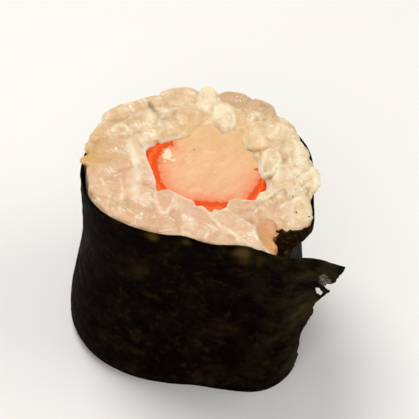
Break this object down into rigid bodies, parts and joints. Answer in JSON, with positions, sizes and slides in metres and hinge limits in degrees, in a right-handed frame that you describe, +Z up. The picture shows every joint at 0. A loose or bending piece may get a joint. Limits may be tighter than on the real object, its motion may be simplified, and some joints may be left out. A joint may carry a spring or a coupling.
{
  "type": "crab hosomaki piece",
  "caption": "Cut piece of thin sushi roll standing on its cut end: nori round rice and a crab stick, with the sheet's torn loose end peeling off at one side.",
  "frame": {"origin": "on the roll's axis, at the middle of the flat foot that the piece stands on", "axes": "+Z up along the roll, +X to the viewer's right, where the sheet's loose end sticks out, +Y to the back"},
  "size_m": [0.0336, 0.0306, 0.0267],
  "materials": {
    "nori_sheet": "toasted seaweed, near-black brown-olive, finely crinkled, satin",
    "rice": "cooked short-grain rice, cream, moist and slightly translucent",
    "crab_stick": "pressed fish flesh, peach, smooth and moist",
    "crab_stick_red_layer": "dyed outer layer of the stick, orange-red, moist"
  },
  "bodies": {
    "root": {"nori_sheet": "nori_sheet", "rice": "rice", "crab_stick": "crab_stick", "crab_stick_red_layer": "crab_stick_red_layer"}
  },
  "joints": []
}
